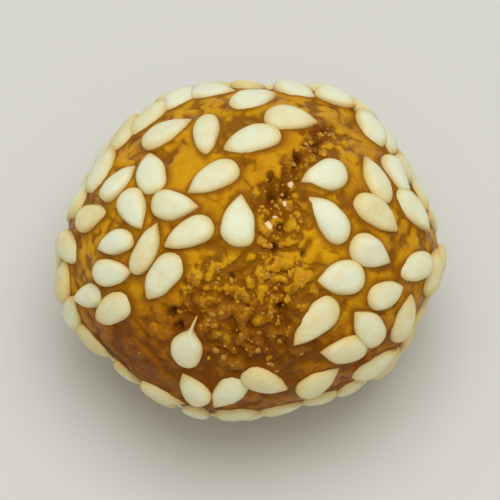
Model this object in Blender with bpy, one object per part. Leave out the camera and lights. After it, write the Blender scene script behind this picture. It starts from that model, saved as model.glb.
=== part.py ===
"""A sesame laughing cookie: a ball of dough, split open on top by the frying and rolled in sesame.

Blender 4.5, metres, +Z up. The cookie rests on a small flat spot, and the origin is the middle
of its box, at the level of that spot. +X is the long way across and -Y is the side that a
person looking down on the split has in front.
"""

import math
import random

import bmesh
import bpy
from mathutils import Matrix, Vector, noise

MM = 0.001

# The ball of dough without its seeds, as half its width, depth and height.
DOUGH_HALF = Vector((11.95, 10.40, 10.05)) * MM
# How much of the ball's underside is pressed flat, measured up from its lowest point. The flat
# spot itself is a low pad of settled dough: four corners on the table, this far out, narrowing
# upward into the ball, whose own underside stays clear of the table.
FOOT_PRESS = 0.42 * MM
FOOT_CORNER = 3.9 * MM
FOOT_TOP_CORNER = 2.8 * MM
FOOT_HEIGHT = 0.8 * MM
FOOT_CLEAR = 0.15 * MM
# The lumps make the ball uneven, so its middle stands this far off the middle of its box.
MIDDLE_OFFSET = Vector((0.13, -0.05)) * MM

# The shown face, with the split on it, is the one seen from this far above the table.
FACE_ELEVATION = math.radians(68)
FACE_RIGHT = Vector((1, 0, 0))
FACE_UP = Vector((0, math.sin(FACE_ELEVATION), math.cos(FACE_ELEVATION)))
FACE_OUT = Vector((0, -math.cos(FACE_ELEVATION), math.sin(FACE_ELEVATION)))
MIDDLE = Vector((*MIDDLE_OFFSET, DOUGH_HALF.z - FOOT_PRESS))

# Broad unevenness of hand-rolled dough.
LUMP_RISE = 0.42 * MM
LUMPS_PER_RADIUS = 1.35
LUMP_START = Vector((3.1, 7.4, 1.9))

# Where a neighbour pressed in the fryer, or the dough swelled: the turn round the shown face,
# counted from the right, the rise, and the half-width as an angle.
SWELLS = (
    (math.radians(20), -0.65 * MM, math.radians(16)),
    (math.radians(61), 0.65 * MM, math.radians(14)),
    (math.radians(118), 0.45 * MM, math.radians(14)),
    (math.radians(157), -0.50 * MM, math.radians(13)),
    (math.radians(192), 0.45 * MM, math.radians(16)),
    (math.radians(225), -0.40 * MM, math.radians(16)),
    (math.radians(292), -0.75 * MM, math.radians(22)),
    (math.radians(341), -0.70 * MM, math.radians(12)),
)

# The split where the dough laughed: a rough seam down the shown face, as millimetres right of
# and above the middle of that face. It runs straight and leans to the right near its top.
SPLIT_RIGHT = 1.7
SPLIT_TOP = 8.4
SPLIT_FOOT = -6.4
SPLIT_TOP_FADE = 4.5
SPLIT_FOOT_FADE = 2.0
SPLIT_LEAN_FROM = 4.2
SPLIT_LEAN = 0.92
SPLIT_WANDER = 0.35
WANDERS_PER_MM = 0.8
SPLIT_HALF_WIDTH = 0.55
SPLIT_DEPTH = 0.80 * MM
# It gapes at this place, wider by this much, and away from it this share of its depth is left.
SPLIT_GAPE_UP = 3.0
SPLIT_GAPE_REACH = 1.9
SPLIT_GAPE_WIDER = 0.35
SPLIT_CLOSED = 0.42
# The lip of swollen dough on the right of the groove, and the bare band along both sides,
# lie this many half-widths from its middle.
SPLIT_LIP = 0.22 * MM
LIP_ASIDE = 2.2
BAND_ASIDE = 2.6

# The bare, crumbly dough that swelled out of the split and so carries no seeds: the middle of
# each patch and its half-width and half-height, in millimetres on the shown or the hidden face.
FRONT_PATCH = (-0.3, -3.9, 4.9, 4.0)
BACK_PATCH = (2.6, 2.2, 3.9, 2.7)
PATCH_RAG = 0.22
RAGS_PER_MM = 0.5
PATCH_REACH = 1.15
PATCH_EDGE = 0.3
BACK_RISE = 0.35 * MM
CRUMB_RISE = 0.26 * MM
CRUMB_SIZE = 1.15 * MM
CRUMB_LEVEL = 0.3

# The ball's triangles: a geodesic grid, cut finer where more than this much of it is bare.
GRID_STEPS = 4
BARE_CUTS = 2
MOSTLY_BARE = 0.5

# A sesame seed: a flat drop, pointed at one end. It sits about two thirds out of the dough,
# as a low dome on a straight rim, over a root of nine tenths its size inside the dough.
SEED_LENGTH = 3.36 * MM
SEED_WIDTH = 1.9 * MM
SEED_STANDS = 0.55 * MM
SEED_RIM = 0.12 * MM
SEED_ROOT = 0.45 * MM
ROOT_SHARE = 0.9
SEED_TAPER = 0.34
SEED_SIDES = 7
SEED_RINGS = 4
SEED_SPREAD = 0.11

# The seeds of the shown face one by one, as somebody straight in front of it sees them: how many
# millimetres right of and above the middle of the view, the way the point looks, in degrees from
# the right, and the length and width that each seems to have.
FACE_SEEDS = (
    (-0.7, 2.1, 88, 3.5, 2.15), (-2.4, 4.75, 209, 3.7, 1.9), (0.1, 7.2, 195, 3.9, 1.95),
    (2.6, 8.5, -6, 3.5, 1.9), (-2.75, 7.5, 268, 3.4, 1.75), (-6.3, 5.1, 101, 3.3, 2.15),
    (-4.8, 3.05, -6, 3.3, 1.9), (-7.4, 2.75, 290, 3.0, 1.8), (-3.93, 1.2, 207, 3.5, 1.85),
    (-5.55, -1.5, 232, 3.7, 2.0), (-6.65, 0.3, 65, 3.7, 1.65), (-8.6, 0.62, 195, 2.9, 1.6),
    (-8.75, -1.22, 3, 3.15, 1.75), (-8.72, -3.55, 212, 3.35, 1.9), (-4.0, -5.9, 83, 3.3, 2.1),
    (-3.61, -8.65, 124, 3.0, 1.8), (-1.42, -8.83, 225, 3.2, 1.9), (0.95, -8.16, -19, 3.3, 1.95),
    (4.36, -8.16, 32, 3.3, 1.9), (4.1, -4.4, 228, 4.0, 2.0), (5.75, -1.6, 185, 3.4, 2.2),
    (4.95, 2.25, 129, 3.8, 1.95), (4.72, 4.95, 195, 3.3, 2.0), (7.7, 0.05, -26, 3.2, 2.05),
    (8.05, 4.7, 114, 3.5, 1.8), (8.06, 2.5, -37, 3.6, 1.9), (8.65, -2.61, 20, 2.9, 1.85),
    (7.47, -4.68, 129, 3.3, 1.95), (5.99, -6.16, 186, 3.4, 1.95), (-5.3, 7.7, 30, 3.7, 1.8),
    (-9.4, 5.3, 62, 3.5, 1.8), (-10.05, 2.3, 20, 2.95, 1.7), (-10.3, -2.7, 195, 2.95, 1.55),
    (7.6, 8.0, 118, 3.3, 2.0), (10.4, 2.7, -52, 3.6, 1.9), (10.5, -0.9, 200, 3.3, 1.85),
    (9.84, -4.2, 75, 3.5, 1.8), (7.95, -7.05, 28, 3.6, 1.8), (0.2, 9.8, 16, 3.3, 1.9),
    (2.95, 10.5, -20, 3.25, 1.9), (-8.4, 4.5, 47, 3.1, 1.6), (-6.3, 8.7, 43, 3.7, 1.8),
    (-7.9, 7.6, 62, 3.4, 1.8), (-11.5, 0.25, -51, 3.3, 1.9), (-10.0, -5.7, -42, 3.3, 1.8),
    (9.4, 4.9, -62, 3.3, 1.8), (5.6, 10.1, -24, 2.9, 1.8), (-2.45, 10.3, 0, 3.3, 1.8),
    (-4.5, 10.1, 30, 3.05, 1.8), (-5.6, -9.0, -25, 3.2, 1.7), (-0.8, -10.2, 0, 2.95, 1.8),
    (-11.9, -1.75, 80, 3.3, 1.8), (-11.5, -3.8, 65, 2.9, 1.8), (11.6, -1.2, 80, 3.15, 1.6),
)
# That viewer's distance, the middle and scale of the view, and how much bigger than it is a seed
# on the near side looks, with the dark line round it.
VIEW_AWAY = 300 * MM
VIEW_MIDDLE = MIDDLE + Vector((-0.13, -0.12, 0.32)) * MM
VIEW_SCALE = 1.0053
LONGER_SEEN = 1.036
WIDER_SEEN = 1.047
# The laps in which such a seed is slid and turned until it is seen in its place, the share of
# what is wrong that one lap puts right, and how near the face's outline its middle may come.
SIGHT_LAPS = 60
SLIDE_SHARE = 0.6
TURN_SHARE = 0.3
FACE_EDGE = 0.986
FACE_HALF_UP = Vector(up * half for up, half in zip(FACE_UP, DOUGH_HALF)).length
# No other seed lies nearer to the front than this many millimetres from the face's own plane.
FACE_DEPTH = 2.2
# Towards the rim those seeds lean out of the dough, more to the front, and stand up as they do.
FACE_LEAN = 0.32
LEAN_RAISE = 0.28 * MM

# All other seeds are thrown at random, and one stays where it finds room. Neighbours may ride
# up on each other's rims by the overlap, and none lies where this much of the dough is bare.
DRAW_START = 11
SEED_THROWS = 12000
SEED_OVERLAP = 0.21 * MM
TOO_BARE = 0.3
# A seed near the foot is pressed up into the dough to clear the table, but no deeper than this.
FLOOR_GAP = 0.20 * MM
MOST_PRESS = 0.60 * MM

# The share of the triangles that stays when the slivers left by the union are collapsed.
KEEP_SHARE = 0.74

DOUGH_COLOUR = (0.42, 0.19, 0.03, 1.0)
DOUGH_ROUGHNESS = 0.55


def clear_scene():
    for item in list(bpy.data.objects):
        bpy.data.objects.remove(item)


def smooth(value):
    """0 up to 0, 1 from 1, and a soft step between."""
    value = min(1.0, max(0.0, value))
    return value * value * (3 - 2 * value)


def bell(value):
    return math.exp(-value * value)


def ball_radius(direction):
    """The plain ball's radius in a direction of length 1."""
    stretched = Vector(d / half for d, half in zip(direction, DOUGH_HALF))
    return 1 / stretched.length


def face_place(direction):
    """(right, up) in millimetres of a direction, as the shown face is looked at, and its depth."""
    point = direction * (ball_radius(direction) / MM)
    return point.dot(FACE_RIGHT), point.dot(FACE_UP), point.dot(FACE_OUT)


def face_direction(right, up):
    """The direction whose place on the shown face is (right, up) millimetres."""
    start = (FACE_RIGHT * right + FACE_UP * up) * MM
    scaled_start = Vector(p / half for p, half in zip(start, DOUGH_HALF))
    scaled_out = Vector(p / half for p, half in zip(FACE_OUT, DOUGH_HALF))
    a = scaled_out.dot(scaled_out)
    b = scaled_start.dot(scaled_out)
    c = scaled_start.dot(scaled_start) - 1
    reach = (math.sqrt(b * b - a * c) - b) / a
    return (start + FACE_OUT * reach).normalized()


def swell(direction):
    """The rise of the broad lumps and of the named swells and dents."""
    rise = LUMP_RISE * noise.noise(direction * LUMPS_PER_RADIUS + LUMP_START)
    for turn, height, half_width in SWELLS:
        middle = FACE_RIGHT * math.cos(turn) + FACE_UP * math.sin(turn)
        rise += height * bell(direction.angle(middle) / half_width)
    return rise


def split_gape(up):
    """1 where the seam gapes widest, falling to 0 above and below it."""
    return bell((up - SPLIT_GAPE_UP) / SPLIT_GAPE_REACH)


def split_distance(right, up):
    """How far a place lies right of the seam, in half-widths of the seam."""
    seam = SPLIT_RIGHT + SPLIT_LEAN * max(0.0, up - SPLIT_LEAN_FROM)
    seam += SPLIT_WANDER * noise.noise(Vector((up * WANDERS_PER_MM, 4.0, 0.0)))
    return (right - seam) / (SPLIT_HALF_WIDTH + SPLIT_GAPE_WIDER * split_gape(up))


def patch_cover(right, up, patch):
    """1 inside a bare patch, falling to 0 over its ragged edge."""
    middle_right, middle_up, half_width, half_height = patch
    away = math.hypot((right - middle_right) / half_width, (up - middle_up) / half_height)
    away += PATCH_RAG * noise.noise(Vector((right * RAGS_PER_MM, up * RAGS_PER_MM, 2.0)))
    return smooth((PATCH_REACH - away) / PATCH_EDGE)


def bare_cover(direction):
    """How bare and crumbly the dough is here: the front patch, the seam's band, the back patch."""
    right, up, depth = face_place(direction)
    if depth < 0:
        return patch_cover(-right, up, BACK_PATCH)
    ends = smooth(SPLIT_TOP - up) * smooth(up - SPLIT_FOOT)
    seam_band = ends * smooth(BAND_ASIDE - abs(split_distance(right, up)))
    return max(patch_cover(right, up, FRONT_PATCH), seam_band)


def split_rise(direction):
    """The rise of the seam: a groove, with a low lip of swollen dough on its right side."""
    right, up, depth = face_place(direction)
    if depth < 0:
        return 0.0
    ends = smooth((SPLIT_TOP - up) / SPLIT_TOP_FADE) * smooth((up - SPLIT_FOOT) / SPLIT_FOOT_FADE)
    aside = split_distance(right, up)
    gape = SPLIT_CLOSED + (1 - SPLIT_CLOSED) * split_gape(up)
    return ends * (SPLIT_LIP * bell(aside - LIP_ASIDE) - SPLIT_DEPTH * gape * bell(aside))


def back_swell(direction):
    """The soft bulge of the bare patch on the hidden face."""
    right, up, depth = face_place(direction)
    if depth > 0:
        return 0.0
    return BACK_RISE * patch_cover(-right, up, BACK_PATCH)


def crumb(direction):
    """The crags of the bare dough."""
    crags = 2 * (abs(noise.noise(direction * (DOUGH_HALF.x / CRUMB_SIZE))) - CRUMB_LEVEL)
    return CRUMB_RISE * bare_cover(direction) * crags


def smooth_point(direction):
    """The dough's surface without its seam and crags, on which the seeds lie."""
    return MIDDLE + direction * (ball_radius(direction) + swell(direction) + back_swell(direction))


def dough_point(direction):
    """The dough's surface, pressed flat underneath, just above the pad's own bottom."""
    point = smooth_point(direction) + direction * (split_rise(direction) + crumb(direction))
    point.z = max(point.z, FOOT_CLEAR)
    return point


def surface_axes(direction, heading):
    """A seed's axes where it lies: along its length to the point, across, and out."""
    step = 0.04
    side = (heading - direction * heading.dot(direction)).normalized()
    other = direction.cross(side)
    along = smooth_point((direction + side * step).normalized())
    along -= smooth_point((direction - side * step).normalized())
    across = smooth_point((direction + other * step).normalized())
    across -= smooth_point((direction - other * step).normalized())
    out = along.cross(across).normalized()
    along.normalize()
    return along, out.cross(along), out


class Seed:
    """One sesame seed: where it lies, which way its point looks, and how big it is."""

    def __init__(self, direction, heading, length, width, lean=0.0):
        self.length = length
        self.width = width
        self.along, self.across, self.out = surface_axes(direction, heading)
        self.place = smooth_point(direction)
        self.lean_out(lean)
        self.press_up()

    def lean_out(self, lean):
        """Turns the seed towards whoever looks at the shown face, and lifts it as much."""
        leaning = (self.out + FACE_OUT * lean).normalized()
        self.place += leaning * (LEAN_RAISE * self.out.cross(leaning).length)
        self.out = leaning
        self.along = (self.along - leaning * self.along.dot(leaning)).normalized()
        self.across = leaning.cross(self.along)

    def press_up(self):
        """Near the flat spot a seed is pressed up into the dough, clear of the table."""
        drop = (self.length * abs(self.along.z) + self.width * abs(self.across.z)) / 2
        lowest = self.place.z - math.hypot(drop, SEED_STANDS * self.out.z)
        self.pressed = max(0.0, FLOOR_GAP - lowest)
        self.place.z += self.pressed

    def beads(self):
        """Three balls along the seed, smaller to its point, as (middle, radius)."""
        radius = self.width / 2
        reach = self.length / 2 - radius
        yield self.place, radius
        yield self.place - self.along * reach, radius * 0.95
        yield self.place + self.along * (reach + radius / 4), radius * 0.62

    def has_room_by(self, other):
        if (self.place - other.place).length > self.length + other.length:
            return True
        for here, radius in self.beads():
            for there, other_radius in other.beads():
                if (here - there).length < radius + other_radius - SEED_OVERLAP:
                    return False
        return True


def seen_place(point):
    """(right, up) in millimetres where the viewer sees a point."""
    away = point - VIEW_MIDDLE
    grow = VIEW_SCALE / (1 - away.dot(FACE_OUT) / VIEW_AWAY) / MM
    return away.dot(FACE_RIGHT) * grow, away.dot(FACE_UP) * grow


def seen_turn(seed):
    """Which way the viewer sees a seed's point look, in degrees from the right."""
    tip_right, tip_up = seen_place(seed.place + seed.along * MM)
    tail_right, tail_up = seen_place(seed.place - seed.along * MM)
    return math.degrees(math.atan2(tip_up - tail_up, tip_right - tail_right))


def seed_on_face(right, up, turn, length, width):
    """A seed lying at (right, up) millimetres on the shown face, its point turned that way."""
    heading = FACE_RIGHT * math.cos(math.radians(turn)) + FACE_UP * math.sin(math.radians(turn))
    size = (length / LONGER_SEEN * MM, width / WIDER_SEEN * MM)
    return Seed(face_direction(right, up), heading, *size, FACE_LEAN)


def seed_seen_at(right, up, turn, length, width):
    """The seed that the viewer sees at (right, up): it is slid and turned until it looks right."""
    on_right, on_up, on_turn = right, up, turn
    for _ in range(SIGHT_LAPS):
        outward = math.hypot(on_right / DOUGH_HALF.x, on_up / FACE_HALF_UP) * MM / FACE_EDGE
        on_right /= max(1.0, outward)
        on_up /= max(1.0, outward)
        seed = seed_on_face(on_right, on_up, on_turn, length, width)
        seen_right, seen_up = seen_place(seed.place)
        on_right += SLIDE_SHARE * (right - seen_right)
        on_up += SLIDE_SHARE * (up - seen_up)
        on_turn += TURN_SHARE * ((turn - seen_turn(seed) + 180) % 360 - 180)
    return seed


def lies_on_face(direction):
    return face_place(direction)[2] > FACE_DEPTH


def lay_seeds():
    """The face's own seeds, then seeds thrown at random wherever there is dough and room."""
    draw = random.Random(DRAW_START)
    seeds = [seed_seen_at(*seen) for seen in FACE_SEEDS]
    for _ in range(SEED_THROWS):
        direction = Vector(draw.gauss(0, 1) for _ in range(3)).normalized()
        heading = Vector(draw.gauss(0, 1) for _ in range(3))
        if lies_on_face(direction) or bare_cover(direction) > TOO_BARE:
            continue
        length = SEED_LENGTH * (1 + draw.uniform(-SEED_SPREAD, SEED_SPREAD))
        width = SEED_WIDTH * (1 + draw.uniform(-SEED_SPREAD, SEED_SPREAD))
        seed = Seed(direction, heading, length, width)
        if seed.pressed < MOST_PRESS and all(seed.has_room_by(other) for other in seeds):
            seeds.append(seed)
    return seeds


def material(name, colour, roughness):
    made = bpy.data.materials.new(name)
    made.use_nodes = True
    shader = made.node_tree.nodes["Principled BSDF"]
    shader.inputs["Base Color"].default_value = colour
    shader.inputs["Roughness"].default_value = roughness
    shader.inputs["Metallic"].default_value = 0.0
    return made


def make_dough():
    """The ball: a geodesic grid moved out to the dough's surface, finer where it is bare."""
    form = bmesh.new()
    bmesh.ops.create_icosphere(form, subdivisions=GRID_STEPS, radius=1.0)
    craggy = []
    for edge in form.edges:
        middle = (edge.verts[0].co + edge.verts[1].co).normalized()
        if bare_cover(middle) > MOSTLY_BARE:
            craggy.append(edge)
    bmesh.ops.subdivide_edges(form, edges=craggy, cuts=BARE_CUTS, use_grid_fill=True)
    for corner in form.verts:
        corner.co = dough_point(corner.co.normalized())
    bmesh.ops.triangulate(form, faces=form.faces)
    mesh = bpy.data.meshes.new("cookie")
    form.to_mesh(mesh)
    form.free()
    return bpy.data.objects.new("cookie", mesh)


def make_seed_mesh():
    """A seed of length and width 1, its point at +X. Below its rim the ball becomes the root."""
    form = bmesh.new()
    bmesh.ops.create_uvsphere(form, u_segments=SEED_SIDES, v_segments=SEED_RINGS, radius=1.0)
    for corner in form.verts:
        x, y, z = corner.co
        level = SEED_RIM + (SEED_STANDS - SEED_RIM) * z
        if level < 0:
            reach = max(ROOT_SHARE / 2, math.hypot(x, y))
            x *= ROOT_SHARE / reach
            y *= ROOT_SHARE / reach
            level = -SEED_ROOT
        corner.co = Vector((x, y * (1 - SEED_TAPER * x), 2 * level)) / 2
    mesh = bpy.data.meshes.new("seed")
    form.to_mesh(mesh)
    form.free()
    return mesh


def put_seeds(collection):
    mesh = make_seed_mesh()
    for seed in lay_seeds():
        item = bpy.data.objects.new("seed", mesh)
        size = Matrix.Diagonal((seed.length, seed.width, 1, 1))
        turn = Matrix((seed.along, seed.across, seed.out)).transposed().to_4x4()
        item.matrix_world = Matrix.Translation(seed.place) @ turn @ size
        collection.objects.link(item)


def put_foot(collection):
    form = bmesh.new()
    turn = Matrix.Rotation(math.radians(45), 4, "Z")
    bmesh.ops.create_cone(
        form,
        cap_ends=True,
        segments=4,
        radius1=FOOT_CORNER,
        radius2=FOOT_TOP_CORNER,
        depth=FOOT_HEIGHT,
        matrix=Matrix.Translation((0, 0, FOOT_HEIGHT / 2)) @ turn,
    )
    mesh = bpy.data.meshes.new("foot")
    form.to_mesh(mesh)
    form.free()
    collection.objects.link(bpy.data.objects.new("foot", mesh))


def join_pieces(dough, collection):
    """One union of the dough with its foot and every seed, applied. The loose ones then go."""
    union = dough.modifiers.new("pieces", "BOOLEAN")
    union.operation = "UNION"
    union.operand_type = "COLLECTION"
    union.collection = collection
    union.solver = "MANIFOLD"
    bpy.context.view_layer.update()
    graph = bpy.context.evaluated_depsgraph_get()
    joined = bpy.data.meshes.new_from_object(dough.evaluated_get(graph))
    dough.modifiers.clear()
    dough.data = joined
    for item in list(collection.objects):
        bpy.data.objects.remove(item)
    bpy.data.collections.remove(collection)


def keep_outer_shell(dough):
    """Drops each small closed surface: a loose scrap, or a hollow sealed between seeds."""
    form = bmesh.new()
    form.from_mesh(dough.data)
    shells = []
    waiting = set(form.verts)
    while waiting:
        shell = {waiting.pop()}
        reached = list(shell)
        while reached:
            corner = reached.pop()
            for edge in corner.link_edges:
                other = edge.other_vert(corner)
                if other not in shell:
                    shell.add(other)
                    reached.append(other)
        waiting -= shell
        shells.append(shell)
    shells.sort(key=len)
    for shell in shells[:-1]:
        bmesh.ops.delete(form, geom=list(shell), context="VERTS")
    form.to_mesh(dough.data)
    form.free()


def collapse_slivers(dough):
    """Thins out the narrow triangles that the union leaves round each seed."""
    thin = dough.modifiers.new("slivers", "DECIMATE")
    thin.decimate_type = "COLLAPSE"
    thin.ratio = KEEP_SHARE
    thin.use_collapse_triangulate = True


def main():
    clear_scene()
    parts = bpy.data.collections.new("sesame_laughing_cookie")
    loose = bpy.data.collections.new("loose_pieces")
    bpy.context.scene.collection.children.link(parts)
    bpy.context.scene.collection.children.link(loose)
    dough = make_dough()
    parts.objects.link(dough)
    put_foot(loose)
    put_seeds(loose)
    join_pieces(dough, loose)
    keep_outer_shell(dough)
    collapse_slivers(dough)
    dough.data.materials.clear()
    dough.data.materials.append(material("fried_dough", DOUGH_COLOUR, DOUGH_ROUGHNESS))


main()
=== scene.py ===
import math
import random

import bmesh
import bpy
from mathutils import Matrix, Vector, kdtree, noise


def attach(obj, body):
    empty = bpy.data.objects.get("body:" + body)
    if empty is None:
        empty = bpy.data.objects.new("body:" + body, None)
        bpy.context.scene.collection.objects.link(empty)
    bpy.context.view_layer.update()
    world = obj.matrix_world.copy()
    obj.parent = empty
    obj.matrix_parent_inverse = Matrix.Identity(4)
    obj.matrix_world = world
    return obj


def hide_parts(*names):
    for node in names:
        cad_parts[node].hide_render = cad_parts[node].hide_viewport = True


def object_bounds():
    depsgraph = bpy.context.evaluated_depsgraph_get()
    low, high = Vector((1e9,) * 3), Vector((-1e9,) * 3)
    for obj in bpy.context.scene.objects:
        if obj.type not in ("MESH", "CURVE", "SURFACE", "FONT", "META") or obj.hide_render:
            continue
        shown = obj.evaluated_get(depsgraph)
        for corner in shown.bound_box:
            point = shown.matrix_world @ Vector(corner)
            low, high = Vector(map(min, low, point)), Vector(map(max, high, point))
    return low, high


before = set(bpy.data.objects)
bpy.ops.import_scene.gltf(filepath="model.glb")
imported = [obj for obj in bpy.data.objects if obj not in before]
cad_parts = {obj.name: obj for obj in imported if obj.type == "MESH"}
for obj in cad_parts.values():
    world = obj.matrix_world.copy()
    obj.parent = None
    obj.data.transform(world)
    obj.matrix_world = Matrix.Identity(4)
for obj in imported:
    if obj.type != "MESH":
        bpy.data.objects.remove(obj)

cad_low, cad_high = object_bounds()
MM = 0.001


# The studio: a pale painted table top and one big soft lamp above it, in a pale room. The camera
# looks down on the split face, as somebody bending over the table would.
CAMERA_RISE = math.radians(68)
CAMERA_AWAY = 300 * MM
# How much of the picture's width the cookie takes.
FRAME_FILL = 0.78
TABLE_SIDE = 4.0
TABLE_COLOUR = (0.63, 0.63, 0.59, 1)
ROOM_COLOUR = (1.0, 0.98, 0.93, 1)
ROOM_STRENGTH = 0.56
LAMP_PLACE = Vector((0.02, 0.03, 0.40))
LAMP_SIDE = 0.26
LAMP_WATTS = 0.92


def put(tree, kind, inputs=None, **settings):
    """A node of that kind: its settings, and each input's number, or the socket that feeds it."""
    node = tree.nodes.new(kind)
    for name, value in settings.items():
        setattr(node, name, value)
    for name, value in (inputs or {}).items():
        if isinstance(value, bpy.types.NodeSocket):
            tree.links.new(value, node.inputs[name])
        else:
            node.inputs[name].default_value = value
    return node


def new_finish(name):
    """A new material's node tree, its Principled shader and the material itself."""
    finish = bpy.data.materials.new(name)
    finish.use_nodes = True
    return finish.node_tree, finish.node_tree.nodes["Principled BSDF"], finish


def show(name, form, finish):
    """Puts a finished bmesh into the scene as an object with smooth faces."""
    mesh = bpy.data.meshes.new(name)
    form.to_mesh(mesh)
    form.free()
    mesh.shade_smooth()
    mesh.materials.append(finish)
    piece = bpy.data.objects.new(name, mesh)
    bpy.context.scene.collection.objects.link(piece)
    return piece


table_tree, table_shader, table_finish = new_finish("pale_table")
table_shader.inputs["Base Color"].default_value = TABLE_COLOUR
table_shader.inputs["Roughness"].default_value = 0.6
table_form = bmesh.new()
bmesh.ops.create_grid(table_form, x_segments=1, y_segments=1, size=TABLE_SIDE / 2)
table = show("table", table_form, table_finish)

lamp_light = bpy.data.lights.new("soft_lamp", "AREA")
lamp_light.size = LAMP_SIDE
lamp_light.energy = LAMP_WATTS
lamp = bpy.data.objects.new("soft_lamp", lamp_light)
lamp.location = LAMP_PLACE
lamp.rotation_euler = (-LAMP_PLACE).to_track_quat("-Z", "Y").to_euler()
bpy.context.scene.collection.objects.link(lamp)

room = bpy.data.worlds.new("pale_room")
room.use_nodes = True
room.node_tree.nodes["Background"].inputs["Color"].default_value = ROOM_COLOUR
room.node_tree.nodes["Background"].inputs["Strength"].default_value = ROOM_STRENGTH
bpy.context.scene.world = room
bpy.context.scene.view_settings.view_transform = "Standard"

cookie_middle = (cad_low + cad_high) / 2
towards_camera = Vector((0, -math.cos(CAMERA_RISE), math.sin(CAMERA_RISE)))
lens = bpy.data.cameras.new("camera")
lens.lens = lens.sensor_width * CAMERA_AWAY * FRAME_FILL / (cad_high.x - cad_low.x)
camera = bpy.data.objects.new("camera", lens)
camera.location = cookie_middle + towards_camera * CAMERA_AWAY
camera.rotation_euler = (-towards_camera).to_track_quat("-Z", "Y").to_euler()
bpy.context.scene.collection.objects.link(camera)
bpy.context.scene.camera = camera


# The ball of dough: flour, sugar and oil, rolled between the palms, a little wider than deep.
# In the fryer its skin sets golden brown, and the inside swells, splits it along a rough seam
# and pushes out bare crumbly dough. It settles on a small flat spot.
DOUGH_HALF = Vector((11.95, 10.40, 10.05)) * MM
FOOT_PRESS = 0.42 * MM
MIDDLE_OFFSET = Vector((0.13, -0.05)) * MM
MIDDLE = Vector((*MIDDLE_OFFSET, DOUGH_HALF.z - FOOT_PRESS))
FACE_RIGHT = Vector((1, 0, 0))
FACE_UP = Vector((0, math.sin(CAMERA_RISE), math.cos(CAMERA_RISE)))
FACE_OUT = towards_camera
LUMP_RISE = 0.42 * MM
LUMPS_PER_RADIUS = 1.35
LUMP_START = Vector((3.1, 7.4, 1.9))
# The dents and swellings round the rim: where they lie, turning from the right, how far they
# rise, and how wide they are.
SWELLS = (
    (math.radians(20), -0.65 * MM, math.radians(16)),
    (math.radians(61), 0.65 * MM, math.radians(14)),
    (math.radians(118), 0.45 * MM, math.radians(14)),
    (math.radians(157), -0.50 * MM, math.radians(13)),
    (math.radians(192), 0.45 * MM, math.radians(16)),
    (math.radians(225), -0.40 * MM, math.radians(16)),
    (math.radians(292), -0.75 * MM, math.radians(22)),
    (math.radians(341), -0.70 * MM, math.radians(12)),
)
# The seam, in millimetres right of and above the middle of the shown face.
SPLIT_RIGHT = 1.7
SPLIT_TOP = 8.4
SPLIT_FOOT = -6.4
SPLIT_TOP_FADE = 4.5
SPLIT_FOOT_FADE = 2.0
SPLIT_LEAN_FROM = 4.2
SPLIT_LEAN = 0.92
SPLIT_WANDER = 0.35
WANDERS_PER_MM = 0.8
SPLIT_HALF_WIDTH = 0.55
SPLIT_GAPE_WIDER = 0.35
SPLIT_DEPTH = 0.80 * MM
SPLIT_GAPE_UP = 3.0
SPLIT_GAPE_REACH = 1.9
SPLIT_CLOSED = 0.42
SPLIT_LIP = 0.22 * MM
LIP_ASIDE = 2.2
BAND_ASIDE = 2.6
# The bare patches: middle, half-width and half-height in millimetres on their face.
FRONT_PATCH = (-0.3, -3.9, 4.9, 4.0)
BACK_PATCH = (2.6, 2.2, 3.9, 2.7)
PATCH_RAG = 0.22
RAGS_PER_MM = 0.5
PATCH_REACH = 1.15
PATCH_EDGE = 0.3
BACK_RISE = 0.35 * MM
CRUMB_RISE = 0.26 * MM
CRUMB_SIZE = 1.15 * MM
CRUMB_LEVEL = 0.3


def smooth(value):
    """0 up to 0, 1 from 1, and a soft step between."""
    value = min(1.0, max(0.0, value))
    return value * value * (3 - 2 * value)


def bell(value):
    return math.exp(-value * value)


def ball_radius(direction):
    return 1 / Vector(d / half for d, half in zip(direction, DOUGH_HALF)).length


def face_place(direction):
    """(right, up) in millimetres of a direction, as the shown face is looked at, and its depth."""
    point = direction * (ball_radius(direction) / MM)
    return point.dot(FACE_RIGHT), point.dot(FACE_UP), point.dot(FACE_OUT)


def face_direction(right, up):
    """The direction whose place on the shown face is (right, up) millimetres."""
    start = (FACE_RIGHT * right + FACE_UP * up) * MM
    scaled_start = Vector(p / half for p, half in zip(start, DOUGH_HALF))
    scaled_out = Vector(p / half for p, half in zip(FACE_OUT, DOUGH_HALF))
    a = scaled_out.dot(scaled_out)
    b = scaled_start.dot(scaled_out)
    c = scaled_start.dot(scaled_start) - 1
    reach = (math.sqrt(b * b - a * c) - b) / a
    return (start + FACE_OUT * reach).normalized()


def swell(direction):
    """The rise of the broad lumps and of the dents and swellings round the rim."""
    rise = LUMP_RISE * noise.noise(direction * LUMPS_PER_RADIUS + LUMP_START)
    for turn, height, half_width in SWELLS:
        middle = FACE_RIGHT * math.cos(turn) + FACE_UP * math.sin(turn)
        rise += height * bell(direction.angle(middle) / half_width)
    return rise


def split_gape(up):
    """1 where the seam gapes widest, falling to 0 above and below it."""
    return bell((up - SPLIT_GAPE_UP) / SPLIT_GAPE_REACH)


def split_distance(right, up):
    """How far a place lies right of the seam, in half-widths of the seam."""
    seam = SPLIT_RIGHT + SPLIT_LEAN * max(0.0, up - SPLIT_LEAN_FROM)
    seam += SPLIT_WANDER * noise.noise(Vector((up * WANDERS_PER_MM, 4.0, 0.0)))
    return (right - seam) / (SPLIT_HALF_WIDTH + SPLIT_GAPE_WIDER * split_gape(up))


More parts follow.
